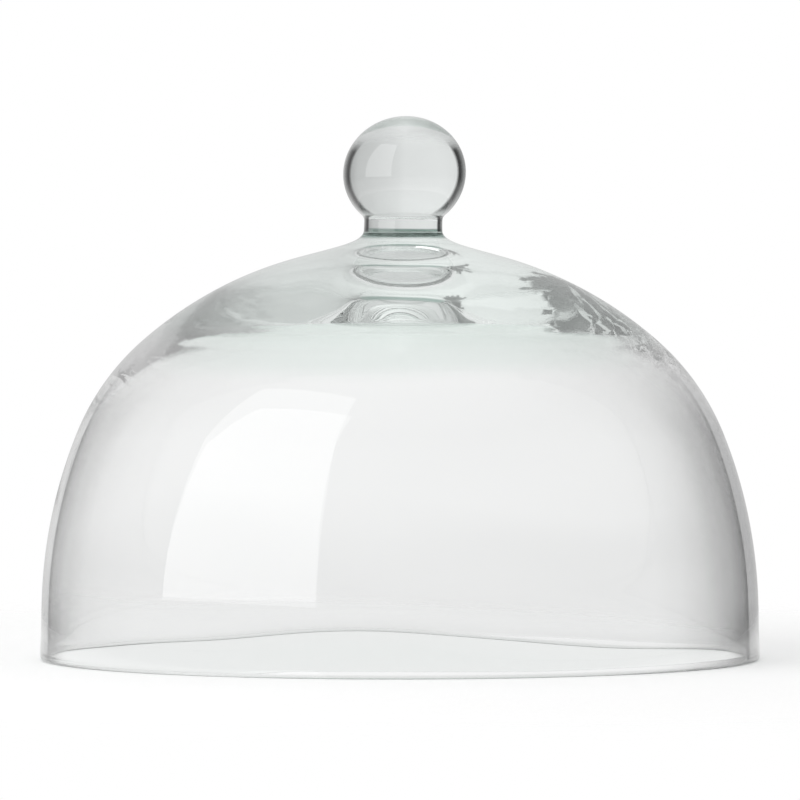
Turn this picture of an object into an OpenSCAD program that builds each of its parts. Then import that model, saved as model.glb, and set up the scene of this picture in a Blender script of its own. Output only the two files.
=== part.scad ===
// Glass food cover dome: a blown bell with a thick crown and a rounded rim,
// and a solid ball knob bonded to the boss on top of it.
// Millimetres. The origin is at the centre of the rim's foot, with +Z up.

/* [Bell] */
// Outside diameter of the bell at the foot of its rim
rim_d = 265; // [220:1:310]
// Height of the crown above the foot of the rim, without the boss
crown_h = 153; // [135:1:175]
// Height of the straight lower wall
skirt_h = 21; // [12:1:30]
// Lean of the lower wall towards the axis, in degrees
skirt_draft = 1.6; // [0.8:0.1:3]
// Turn of the slow curve above the lower wall, in degrees
haunch_turn = 20.4; // [16:0.2:25]
// Turn of the shoulder, in degrees
shoulder_turn = 26.6; // [20:0.2:32]
// Outside radius of the shoulder
shoulder_r = 90; // [70:1:105]

/* [Glass thickness] */
// Thickness of the side wall
wall_t = 2.8; // [2.4:0.1:4]
// Thickness at the edge of the heavy crown
shoulder_t = 5.8; // [4.4:0.1:7]
// Thickness at the top of the crown
crown_t = 11.6; // [8.6:0.2:14]
// Slope of the outside where the wall starts to thicken, in degrees
swell_from = 8; // [4:1:16]
// Slope of the outside at the edge of the heavy crown, in degrees
crown_edge = 53; // [50:1:64]
// Thickness of the bead at the foot of the rim
rim_t = 3.2; // [3.2:0.1:5]
// Height over which the bead fades into the side wall
bead_h = 9; // [7:1:16]
// Radius of the rim's two fire-polished edges
rim_round = 1.2; // [0.6:0.1:1.5]

/* [Boss] */
// Diameter of the boss's flat face, and of the knob's foot on it
seat_d = 30; // [26:0.5:36]
// Height of the boss's face above the crown
boss_h = 4; // [3:0.5:8]
// Reach of the boss's sweep from the edge of its face out onto the crown
boss_reach = 24; // [14:1:34]

/* [Bond] */
// Thickness of the adhesive film
bond_t = 0.2; // [0.1:0.05:0.4]
// Distance of the film's edge inside the edge of the boss's face
bond_inset = 0.4; // [0.2:0.1:1]

/* [Knob] */
// Diameter of the ball across its middle
ball_d = 45.2; // [38:0.2:54]
// Height that the whole ball would have without its stem
ball_h = 42; // [34:0.5:50]
// Diameter of the stem at its narrowest
stem_d = 28.8; // [22:0.2:29.6]
// Height of the stem from its foot to the underside of the ball
stem_h = 5.4; // [3.4:0.2:8]
// Width of the soft crease on the ball where it meets the stem
crease_w = 1.2; // [0.4:0.1:1.6]

/* [Hidden] */
// Sides of a full circle
$fn = 180;
// Steps of one arc of an outline, of the whole inside, of the ball and of a small rounded edge
arc_steps = 24;
inside_steps = 72;
ball_steps = 48;
edge_steps = 8;
// Clear glass and cured adhesive, as they look on a white ground
glass_colour = [0.86, 0.91, 0.89, 0.45];
bond_colour = [0.90, 0.93, 0.90, 0.6];
// Softness of the heavy crown's edge, as a share of the crown, and how steeply the crown thickens behind it
crown_soft_share = 0.07;
crown_fall = 2.5;
// How far the boss's sweep runs up the crown's slope and out from the face, as shares of its reach
boss_slope_share = 0.62;
boss_lean_share = 0.025;
// How far the boss's sweep runs straight down from the face, as a share of its drop
boss_down_share = 0.4;
// Height of the stem's narrowest place, as a share of the stem's height
stem_waist_share = 0.75;

// Steps from a to b, with both ends and without the first
function steps(a, b, n) = [for (i = [0:n]) a + (b - a) * i / n];
function later_steps(a, b, n) = [for (i = [1:n]) a + (b - a) * i / n];
// Unit vector at the angle a, which is also the outward normal of an arc there
function facing(a) = [cos(a), sin(a)];
// Smooth step from 0 to 1
function ease(u) = let (v = max(0, min(1, u))) v * v * (3 - 2 * v);
// Curve from a to c, drawn towards b, without its first point
function bend(a, b, c, n) =
    [for (u = later_steps(0, 1, n)) let (v = 1 - u) a * v ^ 2 + b * 2 * v * u + c * u ^ 2];
// Curve from a to d, drawn towards b and then c, without its first point
function sweep(a, b, c, d, n) =
    [for (u = later_steps(0, 1, n))
        let (v = 1 - u) a * v ^ 3 + b * 3 * v ^ 2 * u + c * 3 * v * u ^ 2 + d * u ^ 3];

// Outside of the bell: the straight lower wall, then the arcs of the haunch, the shoulder and the crown.
// These are the slopes of the normal at the ends of the arcs.
slope_0 = skirt_draft;
slope_1 = slope_0 + haunch_turn;
slope_2 = slope_1 + shoulder_turn;
slope_top = 90;
rim_r = rim_d / 2;
function skirt(z) = [rim_r - z * tan(slope_0), z];

// The haunch and the crown get the radii that bring the outline to the axis, level, at the crown's height
run_left = skirt(skirt_h).x - shoulder_r * (cos(slope_1) - cos(slope_2));
rise_left = crown_h - skirt_h - shoulder_r * (sin(slope_2) - sin(slope_1));
haunch_run = cos(slope_0) - cos(slope_1);
haunch_rise = sin(slope_1) - sin(slope_0);
crown_run = cos(slope_2);
crown_rise = 1 - sin(slope_2);
solve_by = haunch_rise * crown_run - haunch_run * crown_rise;
haunch_r = (rise_left * crown_run - run_left * crown_rise) / solve_by;
crown_r = (run_left * haunch_rise - rise_left * haunch_run) / solve_by;
haunch_centre = skirt(skirt_h) - haunch_r * facing(slope_0);
shoulder_centre = haunch_centre + (haunch_r - shoulder_r) * facing(slope_1);
crown_centre = shoulder_centre + (shoulder_r - crown_r) * facing(slope_2);
function outside(a) =
    a < slope_1 ? haunch_centre + haunch_r * facing(a)
    : a < slope_2 ? shoulder_centre + shoulder_r * facing(a)
    : crown_centre + crown_r * facing(a);

// Inside of the bell: the thickness of the glass is laid off square to the outside.
// The wall swells slowly up to the edge of the crown, which thickens from its softened edge to the top.
function swell(a) = max(0, min(1, (a - swell_from) / (crown_edge - swell_from)));
function softened(u) =
    abs(u - 1) < crown_soft_share ? 1 - (1 + crown_soft_share - u) ^ 2 / (4 * crown_soft_share) : min(1, u);
function thickness(a) =
    wall_t + (shoulder_t - wall_t) * swell(a) ^ 2
    + (crown_t - shoulder_t) * (1 - softened((slope_top - a) / (slope_top - crown_edge)) ^ crown_fall);
function skirt_thickness(z) = rim_t + (wall_t - rim_t) * ease((z - bead_z) / (bead_h - bead_z));
function inside(a) = outside(a) - thickness(a) * facing(a);
function skirt_inside(z) = skirt(z) - skirt_thickness(z) * facing(slope_0);

// Foot of the rim: a flat land between two rounded edges
edge_z = rim_round * (1 + sin(slope_0));
bead_z = rim_round * (1 - sin(slope_0)) + rim_t * sin(slope_0);
outer_edge_centre = [skirt(edge_z).x - rim_round * cos(slope_0), rim_round];
inner_edge_centre = [skirt_inside(bead_z).x + rim_round * cos(slope_0), rim_round];

// Boss on the crown
seat_r = seat_d / 2;
seat_z = crown_h + boss_h;
boss_slope = acos((seat_r + boss_reach) / crown_r);
boss_foot = outside(boss_slope);
boss_drop = seat_z - boss_foot.y;

// Knob, with heights from its own foot
ball_r = ball_d / 2;
ball_rise = ball_h / 2;
stem_r = stem_d / 2;
meet_angle = acos(stem_r / ball_r);
crease_angle = crease_w / ball_r * 180 / PI - meet_angle;
ball_z = stem_h + ball_rise * sin(meet_angle);
stem_waist_z = stem_h * stem_waist_share;
function ball(a) = [ball_r * cos(a), ball_z + ball_rise * sin(a)];

// Dome of clear glass
module bell() {
    color(glass_colour)
    rotate_extrude()
    polygon(concat(
        [for (a = steps(-90, slope_0, edge_steps)) outer_edge_centre + rim_round * facing(a)],
        [for (a = steps(slope_0, slope_1, arc_steps)) outside(a)],
        [for (a = later_steps(slope_1, slope_2, arc_steps)) outside(a)],
        [for (a = later_steps(slope_2, boss_slope, arc_steps)) outside(a)],
        sweep(
            boss_foot,
            boss_foot + boss_reach * boss_slope_share * [-sin(boss_slope), cos(boss_slope)],
            [seat_r + boss_reach * boss_lean_share, seat_z - boss_drop * boss_down_share],
            [seat_r, seat_z],
            arc_steps),
        [[0, seat_z], [0, crown_h - crown_t]],
        [for (a = later_steps(slope_top, slope_0, inside_steps)) inside(a)],
        [for (z = later_steps(skirt_h, bead_z, arc_steps)) skirt_inside(z)],
        [for (a = later_steps(180 + slope_0, 270, edge_steps)) inner_edge_centre + rim_round * facing(a)]));
}

// Ball of clear glass on its short stem, which flares to the boss's face
module knob() {
    color(glass_colour)
    translate([0, 0, seat_z + bond_t])
    rotate_extrude()
    polygon(concat(
        [[0, 0], [seat_r, 0]],
        bend([seat_r, 0], [stem_r, 0], [stem_r, stem_waist_z], edge_steps),
        bend([stem_r, stem_waist_z], [stem_r, stem_h], ball(crease_angle), edge_steps),
        [for (a = later_steps(crease_angle, slope_top, ball_steps)) if (a < slope_top) ball(a)],
        [[0, ball_z + ball_rise]]));
}

// Film of clear adhesive between the boss and the knob
module bond() {
    color(bond_colour)
    translate([0, 0, seat_z])
    cylinder(h = bond_t, r = seat_r - bond_inset);
}

bell();
knob();
bond();
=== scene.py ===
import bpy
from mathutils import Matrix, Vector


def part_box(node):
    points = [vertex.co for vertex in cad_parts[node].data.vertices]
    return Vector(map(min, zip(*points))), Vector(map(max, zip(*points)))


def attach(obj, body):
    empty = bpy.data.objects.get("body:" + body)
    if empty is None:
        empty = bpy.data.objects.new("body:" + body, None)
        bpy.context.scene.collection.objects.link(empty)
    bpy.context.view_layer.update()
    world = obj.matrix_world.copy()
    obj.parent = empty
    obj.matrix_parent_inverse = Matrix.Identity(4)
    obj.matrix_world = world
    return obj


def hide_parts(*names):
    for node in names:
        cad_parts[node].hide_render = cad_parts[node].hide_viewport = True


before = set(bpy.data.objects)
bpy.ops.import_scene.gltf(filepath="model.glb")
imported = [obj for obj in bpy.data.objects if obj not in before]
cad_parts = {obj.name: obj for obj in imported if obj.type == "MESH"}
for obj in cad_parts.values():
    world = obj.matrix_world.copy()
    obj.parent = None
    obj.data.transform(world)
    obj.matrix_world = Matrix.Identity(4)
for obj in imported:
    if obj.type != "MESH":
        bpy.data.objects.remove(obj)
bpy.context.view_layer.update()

import math

import bpy
from mathutils import Vector

# Camera: a long lens 2.8 m in front of the cover, level with the neck of its knob, so the rim is seen almost
# edge on and the far side of the foot shows through the glass. Light passes many times between the skins of
# thick glass before it leaves, so long paths are kept, and kept sharp.
camera_away = 2.7825
camera_up = 0.1547
camera_lens = 340.2
camera_reach = 50
aim_up = 0.0953
glass_bounces = 1000
sight = bpy.data.objects.new("sight", bpy.data.cameras.new("sight"))
sight.location = (0, -camera_away, camera_up)
sight.rotation_euler = (Vector((0, 0, aim_up)) - sight.location).to_track_quat("-Z", "Y").to_euler()
sight.data.lens = camera_lens
sight.data.clip_end = camera_reach
bpy.context.scene.collection.objects.link(sight)
bpy.context.scene.camera = sight
bpy.context.scene.view_settings.view_transform = "Standard"
cycles = bpy.context.scene.cycles
cycles.max_bounces = glass_bounces
cycles.glossy_bounces = glass_bounces
cycles.transmission_bounces = glass_bounces
cycles.transparent_max_bounces = glass_bounces
cycles.blur_glossy = 0

# Table: a board painted matt white, which the cover stands on. It is wide enough for the cover's soft
# shadow and fades out before its own edge would show. Past the rim, where it is seen through the glass,
# it has a painted shade: its white is drawn a little greyer there.
table_radius = 0.5
table_fade_from = 0.2
table_fade_to = 0.475
table_sides = 96
past_rim = 0.131
table_skin = bpy.data.meshes.new("table")
table_skin.from_pydata(
    [(table_radius * math.cos(math.tau * i / table_sides),
      table_radius * math.sin(math.tau * i / table_sides), 0) for i in range(table_sides)],
    [], [list(range(table_sides))])
table = bpy.data.objects.new("table", table_skin)
bpy.context.scene.collection.objects.link(table)


def grey(light):
    return (light, light, light, 1)


table_white = grey(0.9)
table_painted_shade_through_glass = grey(0.83)


class Nodes:
    """The nodes of one finish, room or lamp, each set and linked as it is made."""

    def __init__(self, owner):
        owner.use_nodes = True
        self.tree = owner.node_tree
        self.tree.nodes.clear()

    def add(self, kind, inputs=(), **settings):
        made = self.tree.nodes.new("ShaderNode" + kind)
        for name, value in settings.items():
            setattr(made, name, value)
        for name, value in dict(inputs).items():
            if isinstance(value, bpy.types.NodeSocket):
                self.tree.links.new(value, made.inputs[name])
            else:
                made.inputs[name].default_value = value
        return made

    def math(self, operation, first, second=0.0):
        return self.add("Math", {0: first, 1: second}, operation=operation).outputs["Value"]

    def share(self, value, low, high, at_low=0.0, at_high=1.0, curve="LINEAR"):
        """How far value has come from low to high, laid out from at_low to at_high."""
        ends = {"From Min": low, "From Max": high, "To Min": at_low, "To Max": at_high}
        return self.add("MapRange", {"Value": value, **ends}, interpolation_type=curve).outputs["Result"]

    def mixed(self, share, low, high):
        return self.add("Mix", {"Factor": share, "A": low, "B": high}).outputs["Result"]

    def dyed(self, share, colour, dye, way="MULTIPLY"):
        """The colour, with a share of the dye in it."""
        inputs = {"Factor": share, "A": colour, "B": dye}
        return self.add("Mix", inputs, data_type="RGBA", blend_type=way).outputs["Result"]

    def graded(self, value, stops):
        """Colour read from stops of (place, colour) between 0 and 1."""
        ramp = self.add("ValToRGB", {"Fac": value})
        marks = ramp.color_ramp.elements
        while len(marks) < len(stops):
            marks.new(0.5)
        for mark, (place, colour) in zip(marks, stops):
            mark.position = place
        for mark, (place, colour) in zip(marks, stops):
            mark.color = colour
        return ramp.outputs["Color"]


table_paint = bpy.data.materials.new("table_white")
make = Nodes(table_paint)
spot = make.add("TexCoord").outputs["Object"]
from_middle = make.add("VectorMath", {0: spot}, operation="LENGTH").outputs["Value"]
fade = make.share(from_middle, table_fade_from, table_fade_to, 1, 0, "SMOOTHSTEP")
# Painted shade: past the rim the board is drawn greyer where a ray comes to it through the glass.
seen_past_rim = make.math("MULTIPLY", make.add("LightPath").outputs["Is Transmission Ray"],
                          make.math("GREATER_THAN", from_middle, past_rim))
white = make.dyed(seen_past_rim, table_white, table_painted_shade_through_glass, "MIX")
board = make.add("BsdfDiffuse", {"Color": white}).outputs["BSDF"]
gone = make.add("BsdfTransparent").outputs["BSDF"]
faded = make.add("MixShader", {0: fade, 1: gone, 2: board}).outputs["Shader"]
make.add("OutputMaterial", {"Surface": faded})
table_skin.materials.append(table_paint)

# Room: a plain studio. A white ground stands behind the cover, open light is overhead, and darker sides
# give clear glass its edges. What the glass shows through itself and what it mirrors are set apart, and
# the ground that is seen past the cover is white.
room = bpy.data.worlds.new("room")
bpy.context.scene.world = room
make = Nodes(room)
looking = make.add("TexCoord").outputs["Generated"]
way = make.add("SeparateXYZ", {0: looking}).outputs
path = make.add("LightPath").outputs

# Angles run round the cover from straight behind it, over the right side, and up from the table.
half_turn = 180
upright = 90
around = make.math("ARCTAN2", way["X"], way["Y"])
upward = make.math("ARCSINE", way["Z"])


def level(value, stops, reach):
    """Brightness read from stops of (angle, brightness) between -reach and reach degrees."""
    place = make.share(value, -math.radians(reach), math.radians(reach))
    return make.graded(place, [(0.5 + 0.5 * angle / reach, grey(light)) for angle, light in stops])


# Light that has turned at few skins came through the ball, after more through the wall, and the rest
# through the crown, which guides it to and fro between its skins.
ball_skins = 3.5
wall_skins = 9.5
past_ball = make.math("GREATER_THAN", path["Ray Depth"], ball_skins)
in_wall = make.math("LESS_THAN", path["Ray Depth"], wall_skins)
shown_ball = level(around, [
    (-180, .9), (-60, .95), (-50.5, 1), (-25, 1), (-4, .96), (0, .95), (5, .88), (12, .82), (25, .74),
    (40, .68), (48, .54), (54, .46), (62, .5), (92, .85), (180, .9)], half_turn)
shown_wall = level(around, [
    (-180, .93), (-60, .93), (-38, .93), (-25, 1), (-4, .96), (0, .95), (5, .88), (12, .82), (25, .75),
    (40, .7), (60, .75), (90, .93), (180, .93)], half_turn)

# In the crown, light that turned less often comes out a step aside of light that turned more often, and
# the small facets of the glass break the step up.
step_skins = 13.5
step_above = math.radians(-10)
step_few = math.radians(-5.25)
step_many = math.radians(4.5)
facet_turn = math.radians(4.5)
facets_across = 15.0
few_turns = make.math("MULTIPLY", make.math("LESS_THAN", path["Ray Depth"], step_skins),
                      make.math("GREATER_THAN", upward, step_above))
facets = make.add("TexVoronoi", {"Vector": looking, "Scale": facets_across}).outputs["Color"]
facet = make.add("SeparateColor", {0: facets}).outputs["Red"]
aside = make.math("ADD", make.mixed(few_turns, step_many, step_few),
                  make.share(facet, 0, 1, -facet_turn, facet_turn))
stepped = make.math("ADD", around, make.mixed(in_wall, aside, 0.0))
shown_crown = level(stepped, [
    (-180, .45), (-135, .36), (-118, .32), (-90, .27), (-80, .26), (-38.5, .28), (-37.5, .95), (-25, 1),
    (-4, .96), (0, .95), (5, .88), (12, .82), (25, .75), (40, .63), (54, .45), (62, .38), (70, .3), (84, .3),
    (92, .5), (180, .7)], half_turn)

# Narrow gaps of light stand between the dark screens on the left side.
gap_pitch = math.radians(10)
gap_from = 0.7
gap_full = 0.76
gap_light = 0.75
gaps = make.share(make.math("FRACT", make.math("DIVIDE", around, gap_pitch)), gap_from, gap_full)
screened = level(around, [(-180, 0), (-170, 0), (-166, 1), (-58, 1), (-54, 0), (180, 0)], half_turn)
shown_crown = make.mixed(make.math("MULTIPLY", gaps, screened), shown_crown, gap_light)

ground = level(upward, [(-90, .9), (-6, .92), (-2.6, .9), (-1.3, 1), (90, 1)], upright)
shown_bell = make.math("MULTIPLY", make.mixed(in_wall, shown_crown, shown_wall), ground)
shown_around = make.mixed(past_ball, shown_ball, shown_bell)
shown_above = level(upward, [(-90, .75), (10, .88), (24, .78), (50, .72), (90, .7)], upright)
not_above = level(upward, [(-90, 0), (-30, 1), (30, 1), (48, 0), (90, 0)], upright)
shown = make.mixed(not_above, shown_above, shown_around)
mirrored_around = level(around, [
    (-180, .08), (-80, .2), (-40, .4), (0, .7), (20, .3), (40, .12), (80, .08), (180, .06)], half_turn)
mirrored_above = level(upward, [(-90, .5), (-14, .3), (-6, 0), (45, 0), (80, .6), (90, .6)], upright)
mirrored = make.math("ADD", mirrored_around, mirrored_above)

# The table gets the open light, also through the glass, but nothing from what the glass only mirrors.
open_light = 0.97
some_bounce = 0.5
seen_light = make.mixed(path["Is Glossy Ray"], open_light, mirrored)
seen_light = make.mixed(path["Is Transmission Ray"], seen_light, shown)
table_light = make.mixed(path["Is Glossy Ray"], open_light, 0.0)
table_light = make.mixed(path["Is Transmission Ray"], table_light, 1.0)
from_table = make.math("GREATER_THAN", path["Diffuse Depth"], some_bounce)
light = make.mixed(path["Is Camera Ray"], make.mixed(from_table, seen_light, table_light), 1)
sky = make.add("Background", {"Strength": light, "Color": grey(1)}).outputs["Background"]
make.add("OutputWorld", {"Surface": sky})

# Lamp: one tall soft panel, a white cloth lit from behind. It stands a metre away, front left of the cover,
# and mirrors in the bell and the ball. Light that the crown has guided for long brings little of it.
panel_turn = math.radians(39)
panel_away = 1.0
panel_aside = 0.272
panel_mid = 0.995
panel_width = 1.056
panel_height = 1.85
panel_watts = 7.0
guided_skins = 5.5
guided_share = 0.08
panel_way = Vector((-math.sin(panel_turn), -math.cos(panel_turn), 0))
panel_left = Vector((-math.cos(panel_turn), math.sin(panel_turn), 0))
panel = bpy.data.objects.new("soft_panel", bpy.data.lights.new("soft_panel", "AREA"))
panel.data.shape = "RECTANGLE"
panel.data.size = panel_width
panel.data.size_y = panel_height
panel.data.energy = panel_watts
panel.location = panel_way * panel_away + panel_left * panel_aside + Vector((0, 0, panel_mid))
panel.rotation_euler = (-panel_way).to_track_quat("-Z", "Y").to_euler()
panel.visible_camera = False
make = Nodes(panel.data)
guided = make.math("GREATER_THAN", make.add("LightPath").outputs["Ray Depth"], guided_skins)
glow = make.add("Emission", {"Strength": make.mixed(guided, 1.0, guided_share)}).outputs["Emission"]
make.add("OutputLight", {"Surface": glow})
bpy.context.scene.collection.objects.link(panel)

# Bell: the dome itself, blown in a mould from one gather of clear glass, with a heavy crown and a thin wall
# that is not quite even. It is cut off and fire-polished at the foot, and a small boss is drawn up on the
# crown for the knob.
mm = 0.001
seat_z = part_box("bell")[1].z
cover_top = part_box("knob")[1].z
rim_radius = 132.5 * mm
crown_z = 153 * mm
skirt_top = 21 * mm
skirt_slope = math.radians(1.6)
haunch_slope = skirt_slope + math.radians(20.4)
shoulder_slope = haunch_slope + math.radians(26.6)
shoulder_radius = 90 * mm
wall_depth = 2.8 * mm
shoulder_depth = 5.8 * mm
crown_depth = 11.6 * mm
swell_slope = math.radians(8)
crown_edge = math.radians(53)
crown_soft_share = 0.07
crown_fall = 2.5
rim_depth = 2.85 * mm
bead_top = 9 * mm
rim_round = 1.2 * mm
seat_radius = 15 * mm
foot_radius = 14.55 * mm
boss_reach = 24 * mm
boss_slope_share = 0.62
boss_lean_share = 0.025
boss_down_share = 0.4
level_slope = math.pi / 2


def facing(slope):
    return Vector((math.cos(slope), math.sin(slope)))


def skirt(z):
    return Vector((rim_radius - z * math.tan(skirt_slope), z))


# The haunch and the crown get the radii that bring the outline to the axis, level, at the crown's height.
run_left = skirt(skirt_top).x - shoulder_radius * (math.cos(haunch_slope) - math.cos(shoulder_slope))
rise_left = crown_z - skirt_top - shoulder_radius * (math.sin(shoulder_slope) - math.sin(haunch_slope))
haunch_run = math.cos(skirt_slope) - math.cos(haunch_slope)
haunch_rise = math.sin(haunch_slope) - math.sin(skirt_slope)
crown_run = math.cos(shoulder_slope)
crown_rise = 1 - math.sin(shoulder_slope)
solve_by = haunch_rise * crown_run - haunch_run * crown_rise
haunch_radius = (rise_left * crown_run - run_left * crown_rise) / solve_by
crown_radius = (run_left * haunch_rise - rise_left * haunch_run) / solve_by
haunch_middle = skirt(skirt_top) - haunch_radius * facing(skirt_slope)
shoulder_middle = haunch_middle + (haunch_radius - shoulder_radius) * facing(haunch_slope)
crown_middle = shoulder_middle + (shoulder_radius - crown_radius) * facing(shoulder_slope)


def outside(slope):
    if slope < haunch_slope:
        return haunch_middle + haunch_radius * facing(slope)
    if slope < shoulder_slope:
        return shoulder_middle + shoulder_radius * facing(slope)
    return crown_middle + crown_radius * facing(slope)


def ease(share):
    share = max(0, min(1, share))
    return share * share * (3 - 2 * share)


def rising(value, low, high):
    """Smooth step from 0 at low to 1 at high."""
    return ease((value - low) / (high - low))


def depth(slope):
    """Thickness of the glass, laid off square to the outside."""
    swell = max(0, min(1, (slope - swell_slope) / (crown_edge - swell_slope)))
    span = (level_slope - slope) / (level_slope - crown_edge)
    if abs(span - 1) < crown_soft_share:
        span = 1 - (1 + crown_soft_share - span) ** 2 / (4 * crown_soft_share)
    span = min(1, span)
    return wall_depth + (shoulder_depth - wall_depth) * swell ** 2 + (
        crown_depth - shoulder_depth) * (1 - span ** crown_fall)


# The foot of the rim is a bead between two rounded edges.
edge_z = rim_round * (1 + math.sin(skirt_slope))
bead_z = rim_round * (1 - math.sin(skirt_slope)) + rim_depth * math.sin(skirt_slope)
outer_edge = Vector((skirt(edge_z).x - rim_round * math.cos(skirt_slope), rim_round))
inner_edge = Vector(((skirt(bead_z) - rim_depth * facing(skirt_slope)).x + rim_round * math.cos(skirt_slope),
                     rim_round))


def skirt_depth(z):
    return rim_depth + (wall_depth - rim_depth) * rising(z, bead_z, bead_top)


# The wall is thinner on the left and heavier on the right, with a low pad in front.
side_drift = 0.7 * mm
drift_full_from = 40 * mm
drift_foot_share = 0.5
drift_ends = (90 * mm, 135 * mm)
front_pad = 0.45 * mm
pad_turn = math.radians(-97)
pad_spread = math.radians(19)
pad_top = 30 * mm

# Waves run over both skins. Each has its height, its count round the bell, its rise and its start.
wall_waves = [(0.05 * mm, 3, 19 * mm, 0), (0.04 * mm, 5, -13 * mm, 1), (0.03 * mm, 8, 9 * mm, 2)]
wall_waves_from = (20 * mm, 80 * mm)
wall_waves_to = (118 * mm, 138 * mm)
skin_waves = [(0.03 * mm, 4, -16 * mm, 0), (0.021 * mm, 7, 11 * mm, 1)]
skin_waves_from = (4 * mm, 14 * mm)
skin_waves_to = (130 * mm, 150 * mm)

# Ribs are left by the mould on the right shoulder, and finer ones on both shoulders. Turns are in radians.
ribs = [(0.03 * mm, 36, -1.05 * mm, 0)]
ribs_from = (100 * mm, 108 * mm)
ribs_to = (136 * mm, 148 * mm)
ribs_turn = -0.35
ribs_spread = 0.5
fine_ribs = [(0.01 * mm, 31, 1.3 * mm, 0), (0.01 * mm, 23, -1.1 * mm, 2)]
fine_ribs_from = (111 * mm, 121 * mm)
fine_ribs_to = (140 * mm, 146 * mm)
fine_ribs_aside_share = 0.5
fine_ribs_end_shares = (0.7, 0.85)

# The boss and the knob stand a hair to the right of the axis and lean with it.
boss_drift = 1.1 * mm
boss_drift_from = (138 * mm, 158 * mm)
lean_slope = 0.026


def waved(waves, turn, z):
    return sum(height * math.sin(count * turn + z / rise + start) for height, count, rise, start in waves)


def between(z, start, end):
    """1 between two heights and 0 outside them, with a soft change at the start and the end."""
    return rising(z, *start) * (1 - rising(z, *end))


def hump(turn, middle, spread):
    """Smooth hump round one turn of the bell."""
    aside = (turn - middle + math.pi) % math.tau - math.pi
    return math.exp(-(aside / spread) ** 2)


def uneven(turn, z):
    """How much thicker the wall is here than its plain thickness."""
    to_right = math.cos(turn)
    drift = side_drift * to_right * (1 - rising(z, *drift_ends))
    drift *= drift_foot_share + (1 - drift_foot_share) * rising(z, 0, drift_full_from)
    pad = front_pad * hump(turn, pad_turn, pad_spread) * (1 - rising(z, 0, pad_top))
    waves = waved(wall_waves, turn, z) * between(z, wall_waves_from, wall_waves_to)
    coarse = waved(ribs, turn, z) * between(z, ribs_from, ribs_to) * hump(turn, ribs_turn, ribs_spread)
    fine = waved(fine_ribs, turn, z) * between(z, fine_ribs_from, fine_ribs_to)
    fine *= 1 - math.exp(-(to_right / fine_ribs_aside_share) ** 2)
    fine *= 1 - rising(to_right, *fine_ribs_end_shares)
    return drift + pad + waves + coarse + fine


def ripple(turn, z):
    """Height of the outer skin's shallow waves."""
    return waved(skin_waves, turn, z) * between(z, skin_waves_from, skin_waves_to)


def lean(z):
    """Distance of the boss and the knob to the right of the axis."""
    return boss_drift * rising(z, *boss_drift_from) + lean_slope * max(0, z - seat_z)


turns = 320


def ring(place):
    """One row of points round the axis; place gives the radius and the height at each turn."""
    points = []
    for i in range(turns):
        turn = math.tau * i / turns
        radius, z = place(turn)
        points.append((radius * math.cos(turn) + lean(z), radius * math.sin(turn), z))
    return points


def plain_ring(point):
    return ring(lambda turn: point)


def outer_ring(point, slope):
    return ring(lambda turn: point + ripple(turn, point.y) * facing(slope))


def inner_ring(point, slope, thick):
    return ring(lambda turn: point - (thick + uneven(turn, point.y)) * facing(slope))


def glass_skin(name, first, rows, last, bonded=(), inside_from=math.inf):
    """A closed skin from rows of points, drawn together to a point at each end. Its bands are counted from
    the first point. Those in bonded lie against the joint and get the second finish, and those past
    inside_from the third."""
    points = [first] + [point for row in rows for point in row] + [last]
    faces = []
    finishes = []
    for band in range(len(rows) + 1):
        above = 1 + (band - 1) * turns
        below = above + turns
        for i in range(turns):
            j = (i + 1) % turns
            if band == 0:
                faces.append((0, below + i, below + j))
            elif band == len(rows):
                faces.append((above + j, above + i, len(points) - 1))
            else:
                faces.append((above + i, below + i, below + j, above + j))
            finishes.append(1 if band in bonded else 2 if band > inside_from else 0)
    mesh = bpy.data.meshes.new(name)
    mesh.from_pydata(points, [], faces)
    mesh.polygons.foreach_set("material_index", finishes)
    mesh.polygons.foreach_set("use_smooth", [finish != 1 for finish in finishes])
    mesh.update()
    piece = bpy.data.objects.new(name, mesh)
    bpy.context.scene.collection.objects.link(piece)
    return piece


boss_slope = math.acos((seat_radius + boss_reach) / crown_radius)
boss_foot = outside(boss_slope)
boss_drop = seat_z - boss_foot.y
boss_bend = [
    Vector((foot_radius, seat_z)),
    Vector((seat_radius + boss_reach * boss_lean_share, seat_z - boss_drop * boss_down_share)),
    boss_foot + boss_reach * boss_slope_share * Vector((-math.sin(boss_slope), math.cos(boss_slope))),
    boss_foot]


def boss(share):
    rest = 1 - share
    a, b, c, d = boss_bend
    return a * rest ** 3 + b * 3 * rest ** 2 * share + c * 3 * rest * share ** 2 + d * share ** 3


def steps(first, last, count):
    """Values from first to last, without the first."""
    return [first + (last - first) * (i + 1) / count for i in range(count)]


boss_rows = 40
outer_rows = 110
outer_skirt_rows = 14
edge_rows = 12
inner_skirt_rows = 20
inner_rows = 170
bell_rows = [plain_ring(boss(share)) for share in [0] + steps(0, 1, boss_rows)]
bell_rows += [outer_ring(outside(slope), slope) for slope in steps(boss_slope, skirt_slope, outer_rows)]
bell_rows += [outer_ring(skirt(z), skirt_slope) for z in steps(skirt_top, edge_z, outer_skirt_rows)]
bell_rows += [plain_ring(outer_edge + rim_round * facing(slope))
              for slope in steps(skirt_slope, -level_slope, edge_rows)]
inside_from = len(bell_rows)
bell_rows += [plain_ring(inner_edge + rim_round * facing(slope))
              for slope in [-level_slope] + steps(-level_slope, skirt_slope - math.pi, edge_rows)]
bell_rows += [inner_ring(skirt(z), skirt_slope, skirt_depth(z))
              for z in steps(bead_z, skirt_top, inner_skirt_rows)]
bell_rows += [inner_ring(outside(slope), slope, depth(slope))
              for slope in steps(skirt_slope, level_slope, inner_rows)[:-1]]
bell = glass_skin("bell", (lean(seat_z), 0, seat_z), bell_rows, (0, 0, crown_z - crown_depth),
                  bonded=(0,), inside_from=inside_from)
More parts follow.
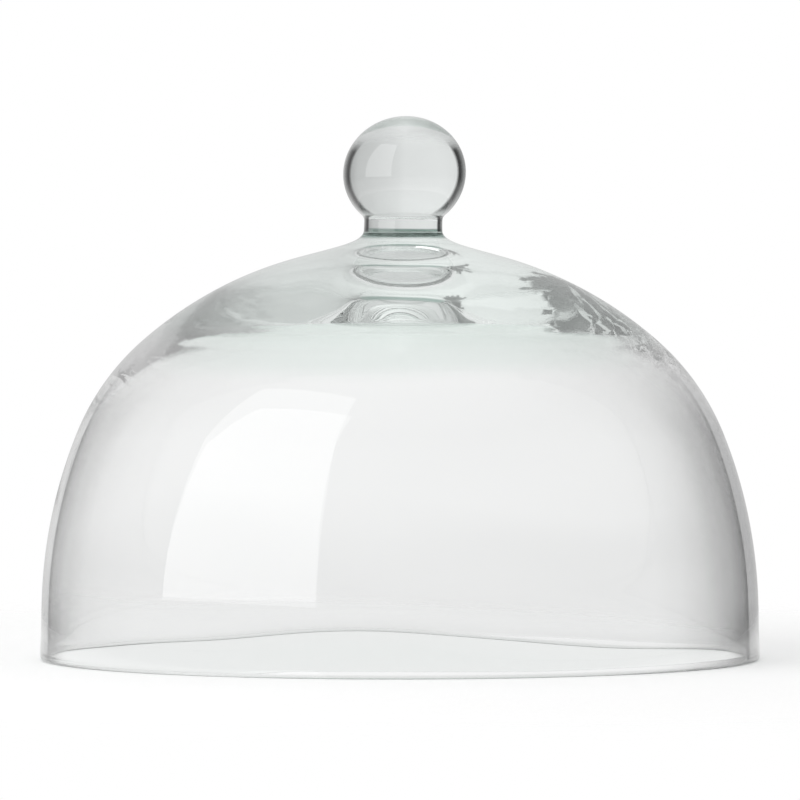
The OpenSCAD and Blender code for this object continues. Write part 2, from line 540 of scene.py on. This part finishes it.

# The deeper the glass behind a skin, the greener it is. At the very foot of the rim the tint is darker and
# greyer, partly the colour of deep glass and partly a painted shade for the dark line where the rim meets
# the table.
glass_bend = 1.52
rim_glass_and_painted_shade = (0.71, 0.73, 0.72, 1)
thin_glass = (0.99, 0.993, 0.992, 1)
crown_glass = (0.87, 0.925, 0.9, 1)
boss_glass = (0.14, 0.22, 0.19, 1)
bell_tints = [(0.0, rim_glass_and_painted_shade), (0.6 * mm, rim_glass_and_painted_shade), (1.7 * mm, thin_glass), (113 * mm, thin_glass),
              (125 * mm, crown_glass), (154.9 * mm, crown_glass), (155.3 * mm, boss_glass)]
bell_polish = 0.03
swells_across = 28.0
swell_height = 1 * mm


def clear_glass(name, tints, polish, shaded=None, tooled=None, gloss=0.0):
    """Clear glass whose tint is read from stops of (height, colour), with faint swells in its polish. shaded
    can darken the tint where the glass is seen at a low angle, and tooled can add marks to the polish."""
    paint = bpy.data.materials.new(name)
    make = Nodes(paint)
    spot = make.add("TexCoord").outputs["Object"]
    place = make.add("SeparateXYZ", {0: spot}).outputs
    height = make.share(place["Z"], 0.0, cover_top)
    tint = make.graded(height, [(up / cover_top, colour) for up, colour in tints])
    if shaded:
        tint = shaded(make, place, tint)
    swells = make.add("TexNoise", {"Vector": spot, "Scale": swells_across, "Detail": 1.0}).outputs["Fac"]
    swollen = {"Strength": polish, "Distance": swell_height, "Height": swells}
    skin_way = make.add("Bump", swollen).outputs["Normal"]
    if tooled:
        skin_way = tooled(make, spot, place, skin_way)
    skin = make.add("BsdfPrincipled", {"Base Color": tint, "Roughness": 0.0, "IOR": glass_bend,
                                       "Transmission Weight": 1.0, "Normal": skin_way})
    if gloss:
        outer_side = make.share(make.add("NewGeometry").outputs["Backfacing"], 0, 1, gloss, 0.0)
        make.tree.links.new(outer_side, skin.inputs["Coat Weight"])
    make.add("OutputMaterial", {"Surface": skin.outputs["BSDF"]})
    return paint


# Painted shade: where the thin wall is seen at a low angle its tint is darkened into a dark edge, a little
# further in and darker on the right side, and darkest at the foot. The painted shade fades out below the
# crown, and only what is seen straight through the wall has it.
first_skins = 3.5
even_sight = 0.5
painted_right_shift = 0.04
right_from = 100 * mm
right_shade = 0.82
foot_angles = (0.62, 0.8)
foot_heights = (4 * mm, 24 * mm)
foot_shade = grey(0.34)
wall_heights = (85 * mm, 120 * mm)


def painted_wall_shade(stops):
    """Painted shade of the thin wall by stops of (angle, shade), from 0 for a skin seen square to 1 for one
    seen flat."""
    def shaded(make, place, tint):
        path = make.add("LightPath").outputs
        angle = make.add("LayerWeight", {"Blend": even_sight}).outputs["Facing"]
        angle = make.math("ADD", angle, make.share(place["X"], 0.0, rim_radius, 0.0, painted_right_shift))
        shade = make.graded(angle, stops)
        shade = make.dyed(1.0, shade, make.share(place["X"], right_from, rim_radius, 1.0, right_shade))
        low = make.share(place["Z"], *foot_heights, 1, 0)
        foot = make.math("MULTIPLY", make.share(angle, *foot_angles), low)
        shade = make.dyed(foot, shade, foot_shade)
        wall = make.share(place["Z"], *wall_heights, 1, 0, "SMOOTHSTEP")
        wall = make.math("MULTIPLY", wall, make.math("LESS_THAN", path["Ray Depth"], first_skins))
        wall = make.math("MULTIPLY", wall, make.math("LESS_THAN", path["Diffuse Depth"], some_bounce))
        return make.dyed(wall, tint, shade)
    return shaded


# The tools left small marks on both shoulders, beside the boss.
marks_across = 150.0
mark_strength = 0.02
marks_aside = (32 * mm, 50 * mm)
marks_heights = (108 * mm, 118 * mm)


def shoulder_marks(make, spot, place, skin_way):
    aside = make.share(make.math("ABSOLUTE", place["X"]), *marks_aside, 0, mark_strength, "SMOOTHSTEP")
    marked = make.math("MULTIPLY", aside, make.share(place["Z"], *marks_heights, 0, 1, "SMOOTHSTEP"))
    marks = make.add("TexNoise", {"Vector": spot, "Scale": marks_across, "Detail": 1.0}).outputs["Fac"]
    inputs = {"Strength": marked, "Distance": swell_height, "Height": marks, "Normal": skin_way}
    return make.add("Bump", inputs).outputs["Normal"]


painted_outside_shade = painted_wall_shade([
    (0.0, grey(1)), (0.66, grey(1)), (0.71, grey(.78)), (0.75, grey(.6)), (0.775, grey(.34)),
    (0.797, grey(.12)), (0.806, grey(.66)), (1.0, grey(.72))])
painted_inside_shade = painted_wall_shade([
    (0.0, grey(1)), (0.33, grey(1)), (0.45, grey(.94)), (0.55, grey(.84)), (0.65, grey(.58)),
    (0.8, grey(.33)), (0.9, grey(.15)), (1.0, grey(.08))])
bonded_face = bpy.data.materials.new("bonded_face")
make = Nodes(bonded_face)
make.add("OutputMaterial", {"Surface": make.add("BsdfTransparent").outputs["BSDF"]})
outside_paint = clear_glass("bell_outside", bell_tints, bell_polish, painted_outside_shade, shoulder_marks)
inside_paint = clear_glass("bell_inside", bell_tints, bell_polish, painted_inside_shade, shoulder_marks)
for paint in (outside_paint, bonded_face, inside_paint):
    bell.data.materials.append(paint)
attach(bell, "root")
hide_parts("bell")

# Bond: a thin film of clear adhesive, cured under light, which fills the joint between the boss and the
# knob out to the edge. It is as clear as the glass, so only its edge shows, as a fine line.
bond_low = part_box("bond")[0].z
bond_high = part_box("bond")[1].z
bond_middle = (bond_low + bond_high) / 2
film_low = (0.78, 0.85, 0.81, 1)
film_high = (0.84, 0.88, 0.85, 1)
small_polish = 0.01
bond_rows = [plain_ring(Vector((foot_radius, z))) for z in (bond_high, bond_middle, bond_low)]
bond = glass_skin("bond", (lean(bond_high), 0, bond_high), bond_rows, (lean(bond_low), 0, bond_low),
                  bonded=(0, len(bond_rows)))
film_tints = [(bond_low, film_low), (bond_high, film_high)]
bond_paint = clear_glass("bond_film", film_tints, small_polish)
for paint in (bond_paint, bonded_face):
    bond.data.materials.append(paint)
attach(bond, "root")
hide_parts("bond")

# Knob: a solid ball of clear glass, a little wider than it is tall, on a short stem that flares to the boss.
# It is pressed in one piece, polished, and bonded to the crown by its foot.
knob_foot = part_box("knob")[0].z
ball_radius = 22.6 * mm
ball_rise = 21 * mm
stem_radius = 14.4 * mm
stem_waist_share = 0.75
crease = 1.2 * mm
meet = math.acos(stem_radius / ball_radius)
crease_slope = crease / ball_radius - meet
ball_z = cover_top - ball_rise
stem_top = ball_z - ball_rise * math.sin(meet)
waist_z = knob_foot + (stem_top - knob_foot) * stem_waist_share
ball_rows = 96
bend_rows = 12


def ball(slope):
    return Vector((ball_radius * math.cos(slope), ball_z + ball_rise * math.sin(slope)))


def bent(a, b, c, share):
    rest = 1 - share
    return a * rest ** 2 + b * 2 * rest * share + c * share ** 2


waist = Vector((stem_radius, waist_z))
neck_bend = (ball(crease_slope), Vector((stem_radius, stem_top)), waist)
foot_bend = (waist, Vector((stem_radius, knob_foot)), Vector((foot_radius, knob_foot)))
knob_rows = [plain_ring(ball(slope)) for slope in steps(level_slope, crease_slope, ball_rows)]
for stem_bend in (neck_bend, foot_bend):
    knob_rows += [plain_ring(bent(*stem_bend, share)) for share in steps(0, 1, bend_rows)]
knob = glass_skin("knob", (lean(cover_top), 0, cover_top), knob_rows, (lean(knob_foot), 0, knob_foot),
                  bonded=(len(knob_rows),))

# The foot of the stem is painted with the green of the boss below it, a painted stand-in for the green light
# that comes up into it from the boss. The ball has a painted shade: a dark line just inside its edge on both
# sides, further out on the left, which fades out towards the top and the neck.
knob_glass = (0.793, 0.817, 0.81, 1)
knob_gloss = 0.7
painted_boss_light_to = 158 * mm
painted_boss_light_fade = 0.2 * mm
left_shift = -0.03
shift_reach = 18 * mm
side_tops = (0.4, 0.65)
side_necks = (-0.85, -0.65)
painted_line_stops = [(0.0, grey(1)), (0.47, grey(1)), (0.505, grey(.25)), (0.54, grey(.003)), (0.62, grey(.003)),
              (0.7, grey(.07)), (0.8, grey(.24)), (1.0, grey(.4))]


# Painted shade: the ball's tint is darkened in a line just inside its edge, on the first ray into it only.
def painted_ball_shade(make, place, tint):
    angle = make.add("LayerWeight", {"Blend": even_sight}).outputs["Facing"]
    angle = make.math("ADD", angle, make.share(place["X"], -shift_reach, shift_reach, left_shift, 0.0))
    tilt = make.add("SeparateXYZ", {0: make.add("NewGeometry").outputs["Normal"]}).outputs["Z"]
    sides = make.math("MULTIPLY", make.share(tilt, *side_tops, 1, 0, "SMOOTHSTEP"),
                      make.share(tilt, *side_necks, 0, 1, "SMOOTHSTEP"))
    first = make.math("LESS_THAN", make.add("LightPath").outputs["Ray Depth"], some_bounce)
    return make.dyed(make.math("MULTIPLY", sides, first), tint, make.graded(angle, painted_line_stops))


knob_tints = [(knob_foot, boss_glass), (painted_boss_light_to, boss_glass), (painted_boss_light_to + painted_boss_light_fade, knob_glass),
              (cover_top, knob_glass)]
knob_paint = clear_glass("knob_glass", knob_tints, small_polish, painted_ball_shade, gloss=knob_gloss)
for paint in (knob_paint, bonded_face):
    knob.data.materials.append(paint)
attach(knob, "root")
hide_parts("knob")
